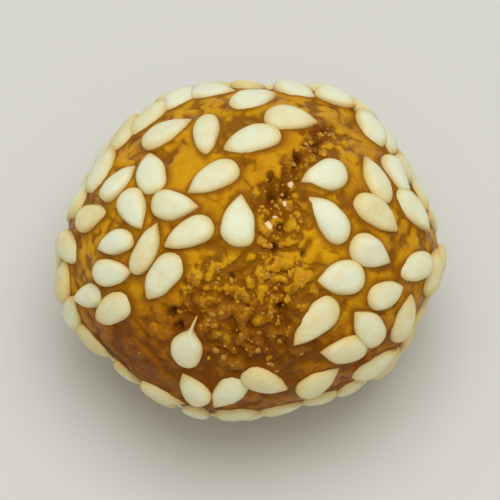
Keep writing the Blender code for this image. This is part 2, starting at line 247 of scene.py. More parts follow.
def patch_cover(right, up, patch):
    """1 inside a bare patch, falling to 0 over its ragged edge."""
    middle_right, middle_up, half_width, half_height = patch
    away = math.hypot((right - middle_right) / half_width, (up - middle_up) / half_height)
    away += PATCH_RAG * noise.noise(Vector((right * RAGS_PER_MM, up * RAGS_PER_MM, 2.0)))
    return smooth((PATCH_REACH - away) / PATCH_EDGE)


def seam_cover(right, up):
    """1 along the seam's bare band, falling to 0 at its sides and ends."""
    ends = smooth(SPLIT_TOP - up) * smooth(up - SPLIT_FOOT)
    return ends * smooth(BAND_ASIDE - abs(split_distance(right, up)))


def bare_cover(direction):
    """How bare and crumbly the dough is here: the front patch, the seam's band, the back patch."""
    right, up, depth = face_place(direction)
    if depth < 0:
        return patch_cover(-right, up, BACK_PATCH)
    return max(patch_cover(right, up, FRONT_PATCH), seam_cover(right, up))


def split_rise(direction):
    """The rise of the seam: a groove, with a low lip of swollen dough on its right side."""
    right, up, depth = face_place(direction)
    if depth < 0:
        return 0.0
    ends = smooth((SPLIT_TOP - up) / SPLIT_TOP_FADE) * smooth((up - SPLIT_FOOT) / SPLIT_FOOT_FADE)
    aside = split_distance(right, up)
    gape = SPLIT_CLOSED + (1 - SPLIT_CLOSED) * split_gape(up)
    return ends * (SPLIT_LIP * bell(aside - LIP_ASIDE) - SPLIT_DEPTH * gape * bell(aside))


def back_swell(direction):
    right, up, depth = face_place(direction)
    return 0.0 if depth > 0 else BACK_RISE * patch_cover(-right, up, BACK_PATCH)


def crumb(direction):
    """The crags of the bare dough."""
    crags = 2 * (abs(noise.noise(direction * (DOUGH_HALF.x / CRUMB_SIZE))) - CRUMB_LEVEL)
    return CRUMB_RISE * bare_cover(direction) * crags


def smooth_point(direction):
    """The dough's surface without its seam and crags, on which the seeds lie."""
    return MIDDLE + direction * (ball_radius(direction) + swell(direction) + back_swell(direction))


# Where the seeds stuck when the damp ball was rolled in the tray. The dough needs their places
# for the collar of skin that it draws up round each one.
SEED_LENGTH = 3.36 * MM
SEED_WIDTH = 1.9 * MM
SEED_STANDS = 0.55 * MM
SEED_TAPER = 0.34
SEED_SPREAD = 0.11
# The seeds of the shown face one by one, as somebody straight in front of it sees them: how many
# millimetres right of and above the middle of the view, the way the point looks, in degrees from
# the right, and the length and width that each seems to have.
FACE_SEEDS = (
    (-0.7, 2.1, 88, 3.5, 2.15), (-2.4, 4.75, 209, 3.7, 1.9), (0.1, 7.2, 195, 3.9, 1.95),
    (2.6, 8.5, -6, 3.5, 1.9), (-2.75, 7.5, 268, 3.4, 1.75), (-6.3, 5.1, 101, 3.3, 2.15),
    (-4.8, 3.05, -6, 3.3, 1.9), (-7.4, 2.75, 290, 3.0, 1.8), (-3.93, 1.2, 207, 3.5, 1.85),
    (-5.55, -1.5, 232, 3.7, 2.0), (-6.65, 0.3, 65, 3.7, 1.65), (-8.6, 0.62, 195, 2.9, 1.6),
    (-8.75, -1.22, 3, 3.15, 1.75), (-8.72, -3.55, 212, 3.35, 1.9), (-4.0, -5.9, 83, 3.3, 2.1),
    (-3.61, -8.65, 124, 3.0, 1.8), (-1.42, -8.83, 225, 3.2, 1.9), (0.95, -8.16, -19, 3.3, 1.95),
    (4.36, -8.16, 32, 3.3, 1.9), (4.1, -4.4, 228, 4.0, 2.0), (5.75, -1.6, 185, 3.4, 2.2),
    (4.95, 2.25, 129, 3.8, 1.95), (4.72, 4.95, 195, 3.3, 2.0), (7.7, 0.05, -26, 3.2, 2.05),
    (8.05, 4.7, 114, 3.5, 1.8), (8.06, 2.5, -37, 3.6, 1.9), (8.65, -2.61, 20, 2.9, 1.85),
    (7.47, -4.68, 129, 3.3, 1.95), (5.99, -6.16, 186, 3.4, 1.95), (-5.3, 7.7, 30, 3.7, 1.8),
    (-9.4, 5.3, 62, 3.5, 1.8), (-10.05, 2.3, 20, 2.95, 1.7), (-10.3, -2.7, 195, 2.95, 1.55),
    (7.6, 8.0, 118, 3.3, 2.0), (10.4, 2.7, -52, 3.6, 1.9), (10.5, -0.9, 200, 3.3, 1.85),
    (9.84, -4.2, 75, 3.5, 1.8), (7.95, -7.05, 28, 3.6, 1.8), (0.2, 9.8, 16, 3.3, 1.9),
    (2.95, 10.5, -20, 3.25, 1.9), (-8.4, 4.5, 47, 3.1, 1.6), (-6.3, 8.7, 43, 3.7, 1.8),
    (-7.9, 7.6, 62, 3.4, 1.8), (-11.5, 0.25, -51, 3.3, 1.9), (-10.0, -5.7, -42, 3.3, 1.8),
    (9.4, 4.9, -62, 3.3, 1.8), (5.6, 10.1, -24, 2.9, 1.8), (-2.45, 10.3, 0, 3.3, 1.8),
    (-4.5, 10.1, 30, 3.05, 1.8), (-5.6, -9.0, -25, 3.2, 1.7), (-0.8, -10.2, 0, 2.95, 1.8),
    (-11.9, -1.75, 80, 3.3, 1.8), (-11.5, -3.8, 65, 2.9, 1.8), (11.6, -1.2, 80, 3.15, 1.6),
)
# The middle and scale of the camera's view, and how much bigger than it is a seed on the near
# side looks, with the dark line round it.
VIEW_AWAY = CAMERA_AWAY
VIEW_MIDDLE = MIDDLE + Vector((-0.13, -0.12, 0.32)) * MM
VIEW_SCALE = 1.0053
LONGER_SEEN = 1.036
WIDER_SEEN = 1.047
# The laps in which such a seed is slid and turned until it is seen in its place, the share of
# what is wrong that one lap puts right, and how near the face's outline its middle may come.
SIGHT_LAPS = 60
SLIDE_SHARE = 0.6
TURN_SHARE = 0.3
FACE_EDGE = 0.986
FACE_HALF_UP = Vector(up * half for up, half in zip(FACE_UP, DOUGH_HALF)).length
# No other seed lies nearer to the front than this many millimetres from the face's own plane.
FACE_DEPTH = 2.2
# Towards the rim those seeds lean out of the dough, more to the front, and stand up as they do.
FACE_LEAN = 0.32
LEAN_RAISE = 0.28 * MM
# All other seeds stuck where they found room. Neighbours ride up on each other's rims, none
# lies where the dough is bare, and one near the flat spot is pressed up, clear of the table.
DRAW_START = 11
SEED_THROWS = 12000
SEED_OVERLAP = 0.21 * MM
TOO_BARE = 0.3
FLOOR_GAP = 0.20 * MM
MOST_PRESS = 0.60 * MM
# How far a seed's axes are measured from its middle, for a ball of radius 1.
AXIS_STEP = 0.04


def surface_axes(direction, heading):
    """A seed's axes where it lies: along its length to the point, across, and out."""
    side = (heading - direction * heading.dot(direction)).normalized()
    other = direction.cross(side)
    along = smooth_point((direction + side * AXIS_STEP).normalized())
    along -= smooth_point((direction - side * AXIS_STEP).normalized())
    across = smooth_point((direction + other * AXIS_STEP).normalized())
    across -= smooth_point((direction - other * AXIS_STEP).normalized())
    out = along.cross(across).normalized()
    along.normalize()
    return along, out.cross(along), out


class Seed:
    """One sesame seed: where it lies, which way its point looks, and how big it is."""

    def __init__(self, direction, heading, length, width, lean=0.0):
        self.length = length
        self.width = width
        self.along, self.across, self.out = surface_axes(direction, heading)
        self.place = smooth_point(direction)
        self.lean_out(lean)
        self.press_up()

    def lean_out(self, lean):
        """Turns the seed towards whoever looks at the shown face, and lifts it as much."""
        leaning = (self.out + FACE_OUT * lean).normalized()
        self.place += leaning * (LEAN_RAISE * self.out.cross(leaning).length)
        self.out = leaning
        self.along = (self.along - leaning * self.along.dot(leaning)).normalized()
        self.across = leaning.cross(self.along)

    def press_up(self):
        """Near the flat spot a seed is pressed up into the dough, clear of the table."""
        drop = (self.length * abs(self.along.z) + self.width * abs(self.across.z)) / 2
        lowest = self.place.z - math.hypot(drop, SEED_STANDS * self.out.z)
        self.pressed = max(0.0, FLOOR_GAP - lowest)
        self.place.z += self.pressed

    def beads(self):
        """Three balls along the seed, smaller to its point, as (middle, radius)."""
        radius = self.width / 2
        reach = self.length / 2 - radius
        yield self.place, radius
        yield self.place - self.along * reach, radius * 0.95
        yield self.place + self.along * (reach + radius / 4), radius * 0.62

    def has_room_by(self, other):
        if (self.place - other.place).length > self.length + other.length:
            return True
        for here, radius in self.beads():
            for there, other_radius in other.beads():
                if (here - there).length < radius + other_radius - SEED_OVERLAP:
                    return False
        return True

    def rim_distance(self, point):
        """How far outside the seed's outline a point of the dough lies, less than 0 inside it."""
        away = point - self.place
        along = away.dot(self.along) / (self.length / 2)
        across = away.dot(self.across) / (self.width / 2) / max(0.4, 1 - SEED_TAPER * along)
        return (math.hypot(along, across) - 1) * self.width / 2


def seen_place(point):
    """(right, up) in millimetres where the viewer sees a point."""
    away = point - VIEW_MIDDLE
    grow = VIEW_SCALE / (1 - away.dot(FACE_OUT) / VIEW_AWAY) / MM
    return away.dot(FACE_RIGHT) * grow, away.dot(FACE_UP) * grow


def seen_turn(seed):
    """Which way the viewer sees a seed's point look, in degrees from the right."""
    tip_right, tip_up = seen_place(seed.place + seed.along * MM)
    tail_right, tail_up = seen_place(seed.place - seed.along * MM)
    return math.degrees(math.atan2(tip_up - tail_up, tip_right - tail_right))


def seed_on_face(right, up, turn, length, width):
    """A seed lying at (right, up) millimetres on the shown face, its point turned that way."""
    heading = FACE_RIGHT * math.cos(math.radians(turn)) + FACE_UP * math.sin(math.radians(turn))
    size = (length / LONGER_SEEN * MM, width / WIDER_SEEN * MM)
    return Seed(face_direction(right, up), heading, *size, FACE_LEAN)


def seed_seen_at(right, up, turn, length, width):
    """The seed that the viewer sees at (right, up): it is slid and turned until it looks right."""
    on_right, on_up, on_turn = right, up, turn
    for _ in range(SIGHT_LAPS):
        outward = math.hypot(on_right / DOUGH_HALF.x, on_up / FACE_HALF_UP) * MM / FACE_EDGE
        on_right /= max(1.0, outward)
        on_up /= max(1.0, outward)
        seed = seed_on_face(on_right, on_up, on_turn, length, width)
        seen_right, seen_up = seen_place(seed.place)
        on_right += SLIDE_SHARE * (right - seen_right)
        on_up += SLIDE_SHARE * (up - seen_up)
        on_turn += TURN_SHARE * ((turn - seen_turn(seed) + 180) % 360 - 180)
    return seed


def lies_on_face(direction):
    return face_place(direction)[2] > FACE_DEPTH


def lay_seeds():
    """The face's own seeds, then seeds thrown at random wherever there is dough and room."""
    draw = random.Random(DRAW_START)
    laid = [seed_seen_at(*seen) for seen in FACE_SEEDS]
    for _ in range(SEED_THROWS):
        direction = Vector(draw.gauss(0, 1) for _ in range(3)).normalized()
        heading = Vector(draw.gauss(0, 1) for _ in range(3))
        if lies_on_face(direction) or bare_cover(direction) > TOO_BARE:
            continue
        length = SEED_LENGTH * (1 + draw.uniform(-SEED_SPREAD, SEED_SPREAD))
        width = SEED_WIDTH * (1 + draw.uniform(-SEED_SPREAD, SEED_SPREAD))
        seed = Seed(direction, heading, length, width)
        if seed.pressed < MOST_PRESS and all(seed.has_room_by(other) for other in laid):
            laid.append(seed)
    return laid


seeds = lay_seeds()
seed_finder = kdtree.KDTree(len(seeds))
for number, seed in enumerate(seeds):
    seed_finder.insert(seed.place, number)
seed_finder.balance()

# The fine surface that the frying gives: a blistered skin between the seeds, and on the bare
# dough small granules with creases and pits between them.
SKIN_LUMP_SIZE = 1.5 * MM
SKIN_LUMP_RISE = 0.12 * MM
BLISTER_SIZE = 0.62 * MM
BLISTER_RISE = 0.10 * MM
CRACKLE_SIZE = 1.1 * MM
CRACKLE_DEPTH = 0.07 * MM
CRACKLE_WIDTH = 0.09
GRANULE_SIZE = 0.68 * MM
GRANULE_RISE = 0.24 * MM
GRIT_SIZE = 0.24 * MM
GRIT_RISE = 0.08 * MM
# How much of the granules the skin has too, and how much more below this place on the face.
SKIN_GRANULES = 0.26
LOW_GRANULES = 0.60
SMOOTHER_BELOW = -3.0
# Spots of the face made paler or browner, partly the dough's own toasting and partly painted light
# and shade: paler beside the seam, browner low on the patch. Each gives right, up, reach and how much
# browner.
TOAST_AND_PAINTED_LIGHT_SPOTS = (
    (3.4, 0.7, 2.6, -0.6), (3.4, 3.4, 1.4, -0.6), (-1.7, -1.2, 1.3, -0.45), (0.3, -5.4, 1.4, 0.4),
    (-1.8, -5.6, 1.0, -0.35), (-2.4, -7.8, 2.2, 0.4), (-7.5, -6.2, 2.6, 0.4), (3.0, -6.8, 2.0, 0.12),
    (-2.4, 3.2, 1.3, 0.2), (-1.1, -3.2, 1.3, 0.45),
)
BARE_BLOTCH = 0.4
BLOTCH_SIZE = 0.8 * MM
BROAD_BLOTCH = 0.25
BROAD_SIZE = 4.5 * MM
# Browner towards the bottom of the shown face: partly toasting, partly painted shade.
LOW_TOAST_AND_SHADE = 0.45
# The band of painted shade along the seam's crease: its width in half-widths of the seam, and how dark.
CREASE_WIDTH = 0.8
CREASE_PAINTED_SHADE = 0.32
CREST_HEIGHT = 0.30 * MM
SEAT_WIDTH = 0.30 * MM
SEAT_RELIEF = 0.35
# Steam broke out through these pits: right, up and radius in millimetres on the shown face.
PITS = (
    (3.97, 7.0, 0.32), (2.75, 6.0, 0.28), (4.56, 7.75, 0.24), (1.15, 4.8, 0.22), (1.44, 3.7, 0.3),
    (2.19, 3.95, 0.22), (1.86, 1.85, 0.24), (1.45, 0.4, 0.24), (3.2, -0.05, 0.2), (-1.3, -1.4, 0.22),
    (-5.0, -3.7, 0.34), (-4.5, -4.55, 0.26), (1.87, -3.4, 0.2),
)
PIT_DEPTH = 0.42 * MM
COLLAR_RISE = 0.10 * MM
COLLAR_WIDTH = 0.18 * MM
# A dark ring of dough round each seed: partly oil-darkened dough, partly painted contact shade.
OIL_AND_SHADE_WIDTH = 0.23 * MM
SEARCH = 2.6 * MM
# The mesh: a ball of this many steps, its edges cut this often, and once more where it is bare.
DOUGH_STEPS = 4
DOUGH_CUTS = 9
MOSTLY_SKIN = 0.25


def near_seeds(point):
    """The distance from a point of the dough to the nearest seed's outline."""
    nearest = SEARCH
    for _, number, _ in seed_finder.find_range(point, SEARCH):
        nearest = min(nearest, seeds[number].rim_distance(point))
    return nearest


def pit_cover(right, up):
    """1 in the middle of one of the seam's pits, falling to 0 at its rim."""
    return max(bell(math.hypot(right - x, up - y) / size) for x, y, size in PITS)


def bare_relief(base, up):
    """The bare dough's granules and grit: how far they rise, lower down less."""
    near = noise.voronoi(base / GRANULE_SIZE)[0]
    rise = GRANULE_RISE * (0.5 - near[0]) + GRIT_RISE * noise.noise(base / GRIT_SIZE)
    return rise * (0.75 + 0.25 * smooth((up - SMOOTHER_BELOW) / 2 + 0.5))


def skin_relief(base):
    """The skin's soft lumps and blisters, and fine cracks where it dried as it swelled."""
    rise = SKIN_LUMP_RISE * noise.noise(base / SKIN_LUMP_SIZE)
    rise += BLISTER_RISE * noise.noise(base / BLISTER_SIZE + LUMP_START)
    crack = bell(noise.noise(base / CRACKLE_SIZE - LUMP_START) / CRACKLE_WIDTH)
    return rise - CRACKLE_DEPTH * crack


def dough_vertex(direction):
    """The finished surface: its point, and its masks in the order of DOUGH_MASKS."""
    base = smooth_point(direction)
    right, up, depth = face_place(direction)
    bare = bare_cover(direction)
    split = split_rise(direction)
    browned_low = smooth(depth) * smooth((SMOOTHER_BELOW - up) / 2)
    skin_granules = SKIN_GRANULES + LOW_GRANULES * browned_low
    granules = skin_granules + (1 - skin_granules) * bare
    relief = skin_relief(base) + crumb(direction) + granules * bare_relief(base, up)
    pit = pit_cover(right, up) * smooth(depth)
    rim = near_seeds(base)
    relief *= SEAT_RELIEF + (1 - SEAT_RELIEF) * smooth(rim / SEAT_WIDTH)
    collar = COLLAR_RISE * bell(max(0.0, rim) / COLLAR_WIDTH)
    point = base + direction * (split + relief + collar - PIT_DEPTH * pit)
    point.z = max(point.z, 0.0)
    # A dark ring of dough round each seed: partly oil-darkened dough, partly painted contact shade.
    oil_and_contact_shade = bell(max(0.0, rim) / OIL_AND_SHADE_WIDTH)
    crest = smooth(0.5 + relief / CREST_HEIGHT)
    # The toast mask: the dough's own blotchy browning, with painted shade and painted light added to it
    # below.
    toast_and_shade = BROAD_BLOTCH * noise.noise(base / BROAD_SIZE)
    # Browner towards the bottom of the shown face: partly toasting, partly painted shade.
    toast_and_shade += LOW_TOAST_AND_SHADE * smooth(depth) * smooth((-up - 1.0) / 7)
    toast_and_shade += BARE_BLOTCH * max(bare, browned_low) * noise.noise(base / BLOTCH_SIZE)
    # Painted shade along the seam's crease.
    seam_crease_shade = seam_cover(right, up) * bell(split_distance(right, up) / CREASE_WIDTH)
    toast_and_shade += CREASE_PAINTED_SHADE * seam_crease_shade * smooth(depth)
    # Paler and browner spots: partly toasting, partly painted light and shade.
    for x, y, reach, browner in TOAST_AND_PAINTED_LIGHT_SPOTS:
        toast_and_shade += browner * bell(math.hypot(right - x, up - y) / reach) * smooth(depth)
    return point, (bare, pit, oil_and_contact_shade, crest, toast_and_shade)


DOUGH_MASKS = ("bare", "pit", "oil_and_contact_shade", "crest", "toast_and_shade")
dough_form = bmesh.new()
bmesh.ops.create_icosphere(dough_form, subdivisions=DOUGH_STEPS, radius=1.0)
bmesh.ops.subdivide_edges(dough_form, edges=dough_form.edges, cuts=DOUGH_CUTS, use_grid_fill=True)
bare_edges = []
for edge in dough_form.edges:
    if bare_cover((edge.verts[0].co + edge.verts[1].co).normalized()) > MOSTLY_SKIN:
        bare_edges.append(edge)
bmesh.ops.subdivide_edges(dough_form, edges=bare_edges, cuts=1, use_grid_fill=True)
dough_layers = [dough_form.verts.layers.float.new(name) for name in DOUGH_MASKS]
for corner in dough_form.verts:
    corner.co, masks = dough_vertex(corner.co.normalized())
    for layer, mask in zip(dough_layers, masks):
        corner[layer] = mask
bmesh.ops.triangulate(dough_form, faces=dough_form.faces)


def paint(red, green, blue):
    """A colour matched on a screen, 0 to 255, as the shader's own numbers."""
    return (*((c / 255) ** 2.2 for c in (red, green, blue)), 1)


def mix_colour(tree, share, first, second):
    """The socket of a colour that goes from first at share 0 to second at share 1."""
    inputs = {0: share, 6: first, 7: second}
    return put(tree, "ShaderNodeMix", inputs, data_type="RGBA").outputs[2]


def step(tree, value, low, high):
    """The socket of a mask, 0 where value is under low, 1 where it is over high."""
    inputs = {"Value": value, "From Min": low, "From Max": high}
    kind = "ShaderNodeMapRange"
    return put(tree, kind, inputs, interpolation_type="SMOOTHSTEP").outputs["Result"]


def calculate(tree, operation, first, second):
    inputs = {0: first, 1: second}
    return put(tree, "ShaderNodeMath", inputs, operation=operation, use_clamp=False).outputs[0]


def own_place(tree):
    return put(tree, "ShaderNodeTexCoord").outputs["Object"]


def spots(tree, place, size, detail=3.0):
    """The socket of an even noise from 0 to 1, with spots of that size in metres."""
    inputs = {"Vector": place, "Scale": 1 / size, "Detail": detail}
    return put(tree, "ShaderNodeTexNoise", inputs).outputs["Fac"]


def made_by(tree, name):
    """The socket of a mask that the mesh carries at its corners."""
    return put(tree, "ShaderNodeAttribute", attribute_name=name).outputs["Fac"]


def new_group(name, inputs, outputs):
    """A node group's tree with its named inputs and outputs, and its two end nodes."""
    tree = bpy.data.node_groups.new(name, "ShaderNodeTree")
    for label, kind in inputs:
        tree.interface.new_socket(label, in_out="INPUT", socket_type="NodeSocket" + kind)
    for label, kind in outputs:
        tree.interface.new_socket(label, in_out="OUTPUT", socket_type="NodeSocket" + kind)
    return tree, tree.nodes.new("NodeGroupInput"), tree.nodes.new("NodeGroupOutput")


# Frying browns unevenly: a pale colour turns toasted in soft blotches and in finer freckles.
toasting, toast_in, toast_out = new_group(
    "toasting",
    (
        ("Pale", "Color"), ("Toasted", "Color"), ("Amount", "Float"), ("Blotch Size", "Float"),
        ("Softness", "Float"),
    ),
    (("Colour", "Color"), ("Mask", "Float")),
)
toast_scale = calculate(toasting, "DIVIDE", 1.0, toast_in.outputs["Blotch Size"])
toast_place = own_place(toasting)
blotches = put(toasting, "ShaderNodeTexNoise", {"Vector": toast_place, "Scale": toast_scale})
freckle_scale = calculate(toasting, "MULTIPLY", toast_scale, 5.0)
freckles = put(toasting, "ShaderNodeTexNoise", {"Vector": toast_place, "Scale": freckle_scale})
both = calculate(toasting, "MULTIPLY", freckles.outputs["Fac"], 0.35)
both = calculate(toasting, "ADD", both, calculate(toasting, "MULTIPLY", blotches.outputs["Fac"], 0.65))
both = calculate(toasting, "ADD", calculate(toasting, "SUBTRACT", both, 0.5), toast_in.outputs["Amount"])
toast_low = calculate(toasting, "SUBTRACT", 0.5, toast_in.outputs["Softness"])
toast_high = calculate(toasting, "ADD", 0.5, toast_in.outputs["Softness"])
browned = step(toasting, both, toast_low, toast_high)
toast_mix = mix_colour(toasting, browned, toast_in.outputs["Pale"], toast_in.outputs["Toasted"])
toasting.links.new(toast_mix, toast_out.inputs["Colour"])
toasting.links.new(browned, toast_out.inputs["Mask"])

# The grain of baked flour and seed skin: fine bumps, and a mask that is 1 on their tops.
grain, grain_in, grain_out = new_group(
    "grain", (("Grain Size", "Float"),), (("Height", "Float"), ("Tops", "Float"))
)
grain_scale = calculate(grain, "DIVIDE", 1.0, grain_in.outputs["Grain Size"])
grain_place = own_place(grain)
grain_noise = put(
    grain, "ShaderNodeTexNoise", {"Vector": grain_place, "Scale": grain_scale, "Detail": 4.0}
)
grain.links.new(grain_noise.outputs["Fac"], grain_out.inputs["Height"])
grain.links.new(step(grain, grain_noise.outputs["Fac"], 0.45, 0.68), grain_out.inputs["Tops"])

SKIN_GOLD = paint(206, 148, 14)
SKIN_BROWN = paint(168, 104, 4)
BARE_GOLD = paint(200, 144, 22)
BARE_BROWN = paint(146, 90, 8)
# Painted shade in the hollows of the relief, between granules and in the skin's cracks.
HOLLOW_SHADE_BROWN = paint(112, 61, 2)
GRAIN_GOLD = paint(224, 170, 62)
# Painted shade in the pits.
PIT_SHADE_BROWN = paint(72, 34, 3)
OILY_CONTACT_SHADE_BROWN = paint(118, 64, 2)
# Darkest brown: deep toasting, and painted shade low on the face.
DARK_BROWN = paint(116, 63, 2)
OIL_GLINT = paint(255, 205, 125)


def toasted(tree, pale, brown, amount, size, softness=0.16):
    inputs = {
        "Pale": pale, "Toasted": brown, "Amount": amount, "Blotch Size": size, "Softness": softness
    }
    return put(tree, "ShaderNodeGroup", inputs, node_tree=toasting).outputs["Colour"]


def bumps(tree, height, depth, normal=None):
    inputs = {"Strength": 1.0, "Distance": depth, "Height": height}
    if normal is not None:
        inputs["Normal"] = normal
    return put(tree, "ShaderNodeBump", inputs).outputs["Normal"]


dough_tree, dough_shader, dough_finish = new_finish("fried_dough")
bare_mask, pit_mask, oil_and_contact_shade_mask, crest_mask, toast_and_shade_mask = [
    made_by(dough_tree, name) for name in DOUGH_MASKS
]
dough_grain = put(dough_tree, "ShaderNodeGroup", {"Grain Size": 0.20 * MM}, node_tree=grain)
skin_amount = calculate(dough_tree, "ADD", toast_and_shade_mask, 0.37)
bare_amount = calculate(dough_tree, "ADD", toast_and_shade_mask, 0.45)
skin_colour = toasted(dough_tree, SKIN_GOLD, SKIN_BROWN, skin_amount, 1.5 * MM, 0.26)
bare_colour = toasted(dough_tree, BARE_GOLD, BARE_BROWN, bare_amount, 0.8 * MM)
dough_colour = mix_colour(dough_tree, bare_mask, skin_colour, bare_colour)
# Darkest brown where the toast mask is high: deep toasting, and painted shade low on the face.
dark_share = calculate(dough_tree, "MULTIPLY", step(dough_tree, toast_and_shade_mask, 0.3, 0.95), 0.85)
dough_colour = mix_colour(dough_tree, dark_share, dough_colour, DARK_BROWN)
# Painted shade in the hollows of the relief, between granules and in the skin's cracks.
hollow_shade_mask = step(dough_tree, crest_mask, 0.55, 0.10)
hollow_shade_share = calculate(dough_tree, "MULTIPLY", hollow_shade_mask, 0.78)
dough_colour = mix_colour(dough_tree, hollow_shade_share, dough_colour, HOLLOW_SHADE_BROWN)
crest_share = calculate(dough_tree, "MULTIPLY", step(dough_tree, crest_mask, 0.55, 1.0), 0.35)
crest_share = calculate(dough_tree, "MULTIPLY", crest_share, dough_grain.outputs["Tops"])
dough_colour = mix_colour(dough_tree, crest_share, dough_colour, GRAIN_GOLD)
# A dark ring of dough round each seed: partly oil-darkened dough, partly painted contact shade.
oil_and_contact_shade_share = calculate(dough_tree, "MULTIPLY", oil_and_contact_shade_mask, 0.78)
dough_colour = mix_colour(dough_tree, oil_and_contact_shade_share, dough_colour, OILY_CONTACT_SHADE_BROWN)
# Painted shade in the pits.
pit_shade_share = calculate(dough_tree, "MULTIPLY", pit_mask, 0.9)
dough_colour = mix_colour(dough_tree, pit_shade_share, dough_colour, PIT_SHADE_BROWN)
dough_tree.links.new(dough_colour, dough_shader.inputs["Base Color"])
oil = step(dough_tree, spots(dough_tree, own_place(dough_tree), 2.2 * MM), 0.4, 0.62)
oily = put(dough_tree, "ShaderNodeMapRange", {"Value": oil, "To Min": 0.6, "To Max": 0.36})
dough_tree.links.new(oily.outputs["Result"], dough_shader.inputs["Roughness"])
dough_bump = bumps(dough_tree, spots(dough_tree, own_place(dough_tree), 0.5 * MM, 6.0), 0.12 * MM)
dough_bump = bumps(dough_tree, dough_grain.outputs["Height"], 0.06 * MM, dough_bump)
dough_tree.links.new(dough_bump, dough_shader.inputs["Normal"])
dough_shader.inputs["Specular IOR Level"].default_value = 0.3
dough_shader.inputs["Specular Tint"].default_value = OIL_GLINT
dough_shader.inputs["Subsurface Weight"].default_value = 0.12
dough_shader.inputs["Subsurface Radius"].default_value = (1.0, 0.45, 0.12)
dough_shader.inputs["Subsurface Scale"].default_value = 0.5 * MM

dough_ball = show("dough_ball", dough_form, dough_finish)
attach(dough_ball, "root")
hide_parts("cookie")


# The sesame seeds: hulled seeds, plump flat drops with one pointed end, pressed into the damp
# dough and fried on. They keep their pale cream, and turn golden at the rim and at the point.
# Each is a mesh of rings round its length, no two of them quite alike.
SEED_RINGS = 26
SEED_SIDES = 18
SEED_THICK = 0.98 * MM
SEED_LIFT = 0.07 * MM
SEED_BOXY = 2.4
POINT_SHARPNESS = 0.36
SHARPNESS_SPREAD = 0.2
MORE_TAPER = 0.08
LESS_TAPER = 0.12
RIM_FROM = 0.66
POINT_FROM = 0.45
SEED_BEND = 0.035
SEED_TILT = math.radians(7)
NOD_SHARE = 0.7
SEED_UNEVEN = 0.07
SEED_SWAY = 0.16
LIFT_SPREAD = 0.06 * MM
STALK_LONGER = 3.2
STALK_LEAN = -1.8
PALEST = 0.02
TONE_SPREAD = 0.4
# Seeds lower on the face are more golden: partly toasting, partly painted warm bounce light and shade.
LOW_TONE_AND_BOUNCE = 0.28
SEED_FLOOR = 0.02 * MM
# Seeds of the shown face given a more golden tone, and those with a shape of their own: how much
# they narrow to the point, how thin the point is, and the width of a stalk left on it.
GOLDEN_SEEDS = {13: 0.42, 18: 0.48, 25: 0.52, 28: 0.45, 31: 0.56, 42: 0.5, 51: 0.52, 53: 0.52}
OWN_SHAPES = {
    14: (0.1, 6.0, 0.13), 2: (0.12, 0.2, 0), 20: (0.25, 0.6, 0), 10: (0.2, 0.7, 0), 13: (0.2, 0.1, 0)
}
OWN_TILTS = {14: (0.0, math.radians(-6)), 19: (math.radians(5), math.radians(-5))}


def seed_ring(share, taper, sharpness, stalk):
    """(place along, half width, half thickness) at a share of the way to the point, of 1 each."""
    along = -math.cos(math.pi * share)
    round_off = max(0.0, 1 - along * along)
    wide = round_off ** (0.46 + sharpness * max(0.0, along)) * (1 - taper * along)
    wide = max(wide, stalk * round_off ** 0.3)
    return along, wide, round_off ** 0.36 * (1 - 0.2 * along)


def round_power(value):
    return math.copysign(abs(value) ** (2 / SEED_BOXY), value)


def add_seed(form, seed, layers, tone, tilt, shape, draw):
    """Adds one seed's rings to the bmesh, each corner with its tone and how near the point it is."""
    tone_layer, point_layer, skirt_layer = layers
    own = Vector(draw.uniform(-50, 50) for _ in range(3))
    sway = draw.uniform(-SEED_SWAY, SEED_SWAY)
    lift = SEED_LIFT + draw.uniform(-LIFT_SPREAD, LIFT_SPREAD)
    turn = Matrix.Rotation(tilt[0], 3, seed.along) @ Matrix.Rotation(tilt[1], 3, seed.across)
    stalk = shape[2]
    rings = []
    for ring in range(SEED_RINGS + 1):
        along, wide, thick = seed_ring(ring / SEED_RINGS, *shape)
        corners = []
        sides = 1 if ring in (0, SEED_RINGS) else SEED_SIDES
        for side in range(sides):
            angle = 2 * math.pi * side / SEED_SIDES
            across = wide * round_power(math.cos(angle))
            out = thick * round_power(math.sin(angle))
            uneven = 1 + SEED_UNEVEN * 2 * noise.noise(Vector((along * 1.2, across, out)) + own)
            drawn_out = 1 + STALK_LONGER * stalk * max(0.0, along)
            offset = seed.along * (along * drawn_out * seed.length / 2)
            offset += seed.across * (STALK_LEAN * stalk * max(0.0, along) ** 2 * seed.length / 2)
            across = across * uneven + sway * (0.5 - along * along)
            offset += seed.across * (across * seed.width / 2)
            bend = SEED_BEND * (along * seed.length / 2) ** 2 / MM
            offset += seed.out * (out * SEED_THICK / 2 * uneven + lift - bend)
            corner = form.verts.new(seed.place + turn @ offset)
            corner[tone_layer] = tone
            corner[point_layer] = smooth((along - POINT_FROM) / (1 - POINT_FROM))
            aside = math.sqrt(1 - along * along) * round_power(math.cos(angle))
            rim = (math.hypot(along, aside) - RIM_FROM) / (1 - RIM_FROM)
            corner[skirt_layer] = max(smooth(rim), smooth((0.6 - out) / 0.6))
            corners.append(corner)
        rings.append(corners)
    for first, second in zip(rings, rings[1:]):
        for side in range(SEED_SIDES):
            after = (side + 1) % SEED_SIDES
            if len(first) == 1:
                form.faces.new((first[0], second[after], second[side]))
            elif len(second) == 1:
                form.faces.new((first[side], first[after], second[0]))
            else:
                form.faces.new((first[side], first[after], second[after], second[side]))


